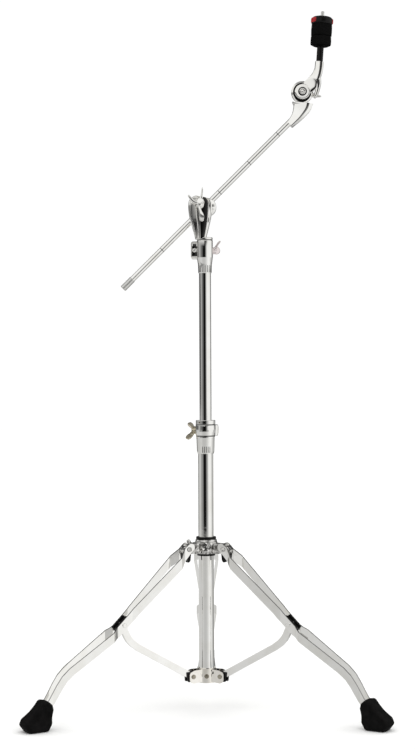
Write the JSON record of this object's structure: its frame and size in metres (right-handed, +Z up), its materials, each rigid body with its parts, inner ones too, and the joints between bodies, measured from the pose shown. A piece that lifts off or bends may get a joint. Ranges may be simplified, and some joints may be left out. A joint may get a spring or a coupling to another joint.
{
  "type": "cymbal boom stand",
  "caption": "Double-braced folding tripod stand with a telescoping column, a tilting sliding boom and a felted cymbal tilter with a quick-release nut.",
  "frame": {"origin": "point on the floor under the column's axis, with the stand open on its three feet", "axes": "+Z up the column, +X towards the side the boom rises to, +Y towards the rear leg"},
  "size_m": [0.6576, 0.5704, 1.2961],
  "materials": {
    "chrome": "polished chrome plate",
    "black_plastic": "moulded nylon, semi-matte",
    "foot_rubber": "moulded rubber, matte",
    "felt": "pressed wool felt",
    "red_plastic": "moulded red plastic"
  },
  "bodies": {
    "stand_base": {"base_tube": "chrome", "base_bracket": "chrome", "bracket_screw": "chrome", "bracket_rivets": "chrome", "bracket_bushes": "black_plastic", "base_clamp": "chrome", "base_clamp_bush": "black_plastic", "base_clamp_nut": "chrome"},
    "base_wing": {"base_wing_bolt": "chrome"},
    "hub": {"leg_hub": "chrome", "hub_bush": "black_plastic", "hub_pins": "chrome", "hub_stops": "black_plastic", "hub_nut": "chrome"},
    "hub_wing": {"hub_wing_bolt": "chrome"},
    "leg_right": {"leg_right_strip_front": "chrome", "leg_right_strip_back": "chrome", "leg_right_spacers": "black_plastic", "leg_right_rivets": "chrome", "foot_right": "foot_rubber"},
    "strut_right": {"strut_right": "chrome"},
    "leg_left": {"leg_left_strip_front": "chrome", "leg_left_strip_back": "chrome", "leg_left_spacers": "black_plastic", "leg_left_rivets": "chrome", "foot_left": "foot_rubber"},
    "strut_left": {"strut_left": "chrome"},
    "leg_rear": {"leg_rear_strip_front": "chrome", "leg_rear_strip_back": "chrome", "leg_rear_spacers": "black_plastic", "leg_rear_rivets": "chrome", "foot_rear": "foot_rubber"},
    "strut_rear": {"strut_rear": "chrome"},
    "middle": {"middle_tube": "chrome", "memory_ring": "chrome", "memory_ring_screw": "chrome", "upper_clamp": "chrome", "upper_clamp_bush": "black_plastic", "upper_clamp_nut": "chrome"},
    "upper_wing": {"upper_wing_bolt": "chrome"},
    "upper_post": {"upper_tube": "chrome"},
    "yoke": {"tilter_yoke": "chrome", "yoke_screw": "chrome", "tilt_bolt": "chrome"},
    "tilt_wing": {"tilt_wing": "chrome"},
    "clamp": {"boom_clamp": "chrome"},
    "boom": {"boom_rod": "chrome", "boom_cap": "chrome", "tilter_lower_arm": "chrome", "cymbal_tilt_bolt": "chrome"},
    "cymbal_wing": {"cymbal_tilt_wing": "chrome"},
    "cymbal_arm": {"tilter_upper_arm": "chrome", "cymbal_rod": "chrome", "cymbal_sleeve": "black_plastic", "seat_washer": "black_plastic"},
    "felt_low": {"lower_felt": "felt"},
    "felt_high": {"upper_felt": "felt"},
    "nut": {"quick_nut": "black_plastic"},
    "button_left": {"nut_button_left": "red_plastic"},
    "button_right": {"nut_button_right": "red_plastic"}
  },
  "joints": [
    {"name": "tripod_fold", "type": "slide", "parent": "stand_base", "child": "hub", "axis": [0, 0, 1], "range_m": [0, 0.1267]},
    {"name": "base_wing_turn", "type": "hinge", "parent": "stand_base", "child": "base_wing", "pos_m": [-0.02, 0.0202, 0.518], "axis": [-1, 0, 0], "continuous": true},
    {"name": "hub_wing_turn", "type": "hinge", "parent": "hub", "child": "hub_wing", "pos_m": [-0.02425, 0.014, 0.301], "axis": [-0.866, 0.5, 0], "continuous": true},
    {"name": "leg_right_fold", "type": "hinge", "parent": "hub", "child": "leg_right", "pos_m": [0.03637, -0.021, 0.3], "axis": [0.5, 0.866, 0], "range_deg": [0, 42.01]},
    {"name": "strut_right_fold", "type": "hinge", "parent": "stand_base", "child": "strut_right", "pos_m": [0.02858, -0.0165, 0.0645], "axis": [0.5, 0.866, 0], "range_deg": [-45.71, 0]},
    {"name": "leg_left_fold", "type": "hinge", "parent": "hub", "child": "leg_left", "pos_m": [-0.03637, -0.021, 0.3], "axis": [0.5, -0.866, 0], "range_deg": [0, 42.01]},
    {"name": "strut_left_fold", "type": "hinge", "parent": "stand_base", "child": "strut_left", "pos_m": [-0.02858, -0.0165, 0.0645], "axis": [0.5, -0.866, 0], "range_deg": [-45.71, 0]},
    {"name": "leg_rear_fold", "type": "hinge", "parent": "hub", "child": "leg_rear", "pos_m": [0, 0.042, 0.3], "axis": [-1, 0, 0], "range_deg": [0, 42.01]},
    {"name": "strut_rear_fold", "type": "hinge", "parent": "stand_base", "child": "strut_rear", "pos_m": [0, 0.033, 0.0645], "axis": [-1, 0, 0], "range_deg": [-45.71, 0]},
    {"name": "middle_height", "type": "slide", "parent": "stand_base", "child": "middle", "axis": [0, 0, 1], "range_m": [0, 0.15]},
    {"name": "upper_wing_turn", "type": "hinge", "parent": "middle", "child": "upper_wing", "pos_m": [0.016, 0.0172, 0.853], "axis": [1, 0, 0], "continuous": true},
    {"name": "upper_height", "type": "slide", "parent": "middle", "child": "upper_post", "axis": [0, 0, 1], "range_m": [0, 0.14]},
    {"name": "boom_swivel", "type": "hinge", "parent": "upper_post", "child": "yoke", "pos_m": [0, 0, 0.872], "axis": [0, 0, 1], "continuous": true},
    {"name": "tilt_wing_turn", "type": "hinge", "parent": "yoke", "child": "tilt_wing", "pos_m": [-0.009, -0.02, 0.9367], "axis": [0, -1, 0], "continuous": true},
    {"name": "boom_tilt", "type": "hinge", "parent": "yoke", "child": "clamp", "pos_m": [-0.009, 0, 0.9367], "axis": [0, -1, 0], "range_deg": [-70, 20]},
    {"name": "boom_reach", "type": "slide", "parent": "clamp", "child": "boom", "axis": [0.7108, 0, 0.7034], "range_m": [-0.13, 0.16]},
    {"name": "cymbal_wing_turn", "type": "hinge", "parent": "boom", "child": "cymbal_wing", "pos_m": [0.1824, 0.016, 1.1462], "axis": [0, 1, 0], "continuous": true},
    {"name": "cymbal_tilt", "type": "hinge", "parent": "boom", "child": "cymbal_arm", "pos_m": [0.1824, 0, 1.1462], "axis": [0, 1, 0], "range_deg": [-60, 0]},
    {"name": "lower_felt_lift", "type": "slide", "parent": "cymbal_arm", "child": "felt_low", "axis": [0.068, 0, 0.9977], "range_m": [0, 0.02]},
    {"name": "upper_felt_lift", "type": "slide", "parent": "felt_low", "child": "felt_high", "axis": [0.068, 0, 0.9977], "range_m": [0, 0.02]},
    {"name": "quick_nut_lift", "type": "slide", "parent": "felt_high", "child": "nut", "axis": [0.068, 0, 0.9977], "range_m": [0, 0.03]},
    {"name": "button_left_push", "type": "slide", "parent": "nut", "child": "button_left", "axis": [0.9977, 0, -0.068], "range_m": [0, 0.002], "stiffness_N_per_m": 400},
    {"name": "button_right_push", "type": "slide", "parent": "nut", "child": "button_right", "axis": [-0.9977, 0, 0.068], "range_m": [0, 0.002], "stiffness_N_per_m": 400}
  ],
  "couplings": [
    {"joint": "leg_right_fold", "follows": "tripod_fold", "rad_per_m": 5.7856},
    {"joint": "strut_right_fold", "follows": "tripod_fold", "rad_per_m": -6.2953},
    {"joint": "leg_left_fold", "follows": "tripod_fold", "rad_per_m": 5.7856},
    {"joint": "strut_left_fold", "follows": "tripod_fold", "rad_per_m": -6.2953},
    {"joint": "leg_rear_fold", "follows": "tripod_fold", "rad_per_m": 5.7856},
    {"joint": "strut_rear_fold", "follows": "tripod_fold", "rad_per_m": -6.2953}
  ]
}
